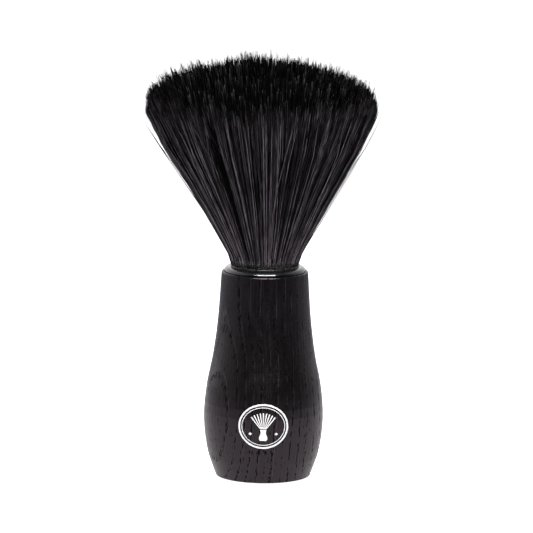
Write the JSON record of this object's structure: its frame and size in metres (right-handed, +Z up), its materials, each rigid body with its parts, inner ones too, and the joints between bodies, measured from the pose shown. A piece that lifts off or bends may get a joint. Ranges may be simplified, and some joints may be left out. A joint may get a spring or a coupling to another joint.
{
  "type": "neck duster brush",
  "caption": "Free-standing neck duster: a turned dark wood handle with a full belly, a gloss collar and a wide domed fan of soft black bristles that bends over and springs back.",
  "frame": {"origin": "centre of the handle's flat base, on the surface that the brush stands on", "axes": "+Z up along the handle's axis towards the bristle tips, -Y towards the viewer, +X to the viewer's right; the brush is round about Z"},
  "size_m": [0.0898, 0.0898, 0.1655],
  "materials": {
    "wood": "satin",
    "collar": "polished",
    "glue": "gloss",
    "resin": "gloss",
    "bristle": "satin"
  },
  "bodies": {
    "handle": {"handle": "wood", "collar_ring": "collar", "glue_bed": "glue", "knot_plug": "resin", "bristle_root": "bristle"},
    "bristles": {"bristle_fan": "bristle"}
  },
  "joints": [
    {"name": "bristle_flex", "type": "hinge", "parent": "handle", "child": "bristles", "pos_m": [0, 0, 0.0842], "axis": [0, 1, 0], "range_deg": [-20, 20], "stiffness_Nm_per_rad": 0.25}
  ]
}
